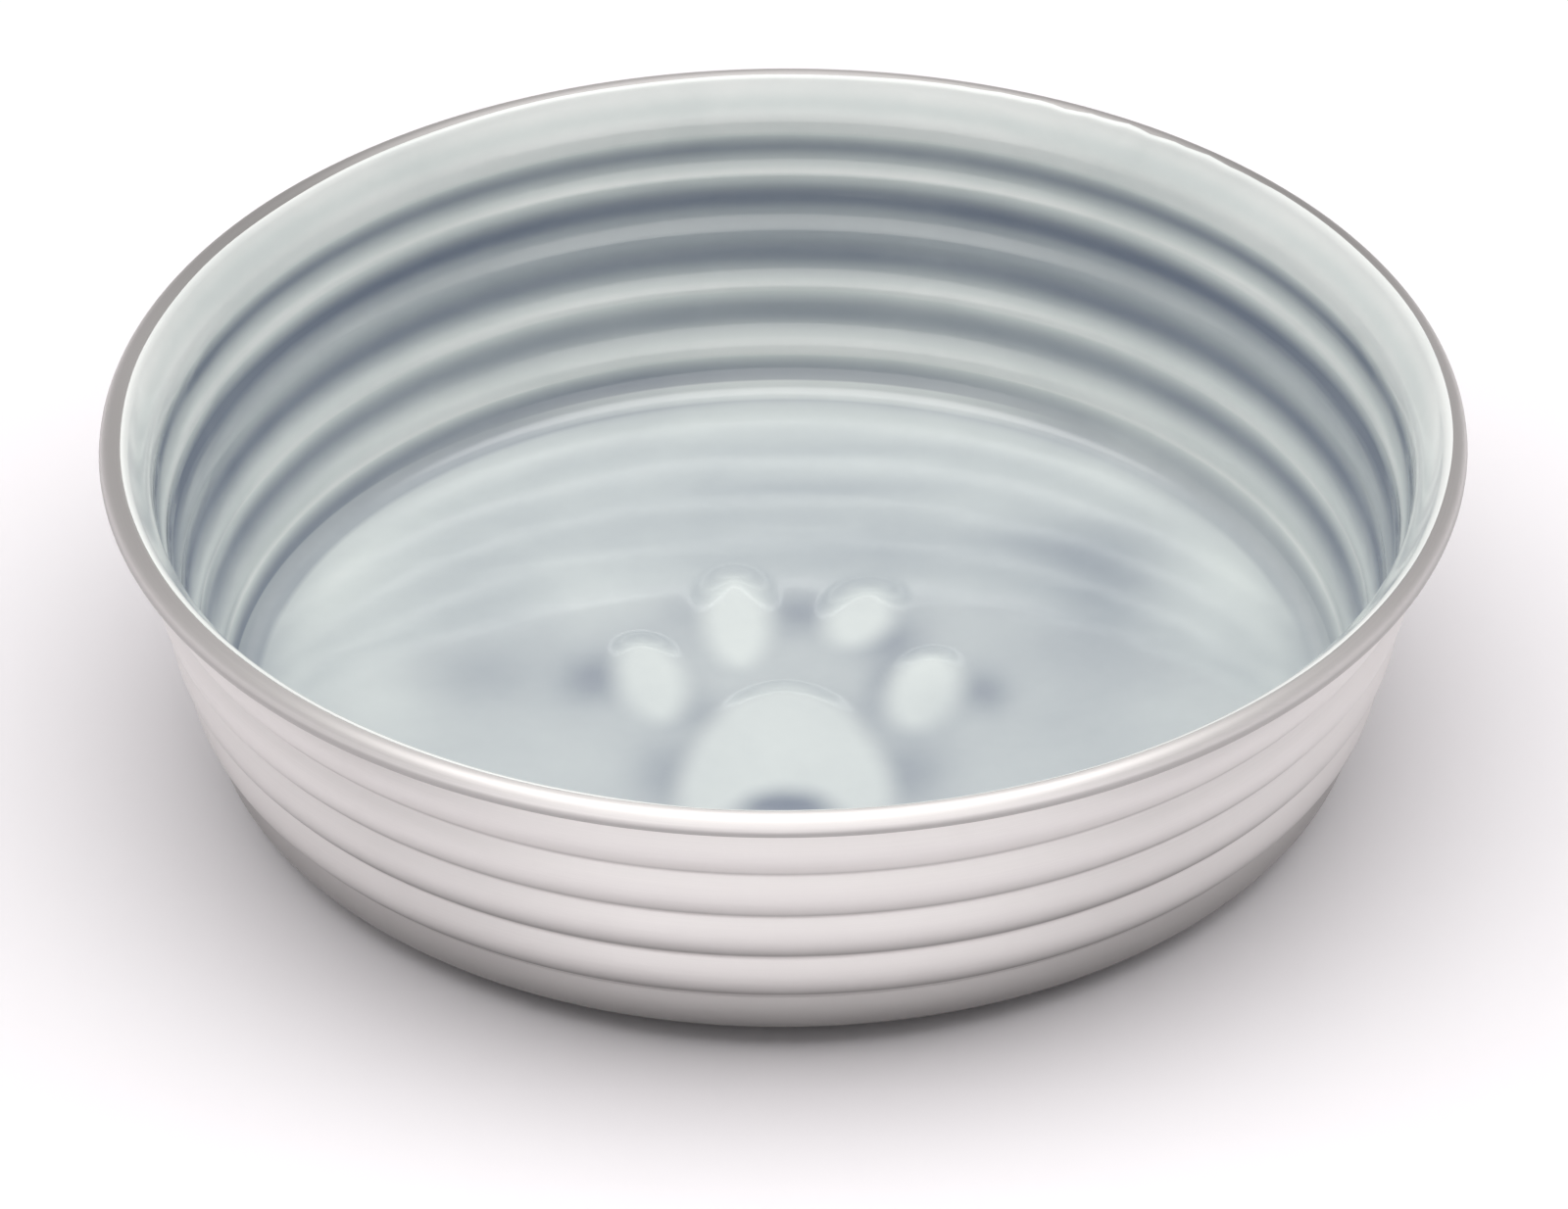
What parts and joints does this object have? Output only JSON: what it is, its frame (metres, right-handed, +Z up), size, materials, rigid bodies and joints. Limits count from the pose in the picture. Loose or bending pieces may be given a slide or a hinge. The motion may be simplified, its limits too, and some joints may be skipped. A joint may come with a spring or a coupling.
{
  "type": "pet food bowl",
  "caption": "Round hooped steel pet bowl with a rolled rim, a glossy enamel lining over a raised paw, and a rubber foot ring underneath.",
  "frame": {"origin": "middle of the foot ring's resting face, on the surface the bowl stands on", "axes": "+Z up through the middle of the bowl, +Y towards the toes of the paw, +X to the right when the paw is seen upright"},
  "size_m": [0.178, 0.178, 0.046],
  "materials": {
    "satin_steel": "satin stainless sheet with fine turned lines",
    "enamel": "high gloss poured enamel, pale where thin and slate grey where it pools",
    "foot_rubber": "matt black rubber"
  },
  "bodies": {
    "root": {"steel_shell": "satin_steel", "enamel_lining": "enamel", "rubber_foot_ring": "foot_rubber"}
  },
  "joints": []
}
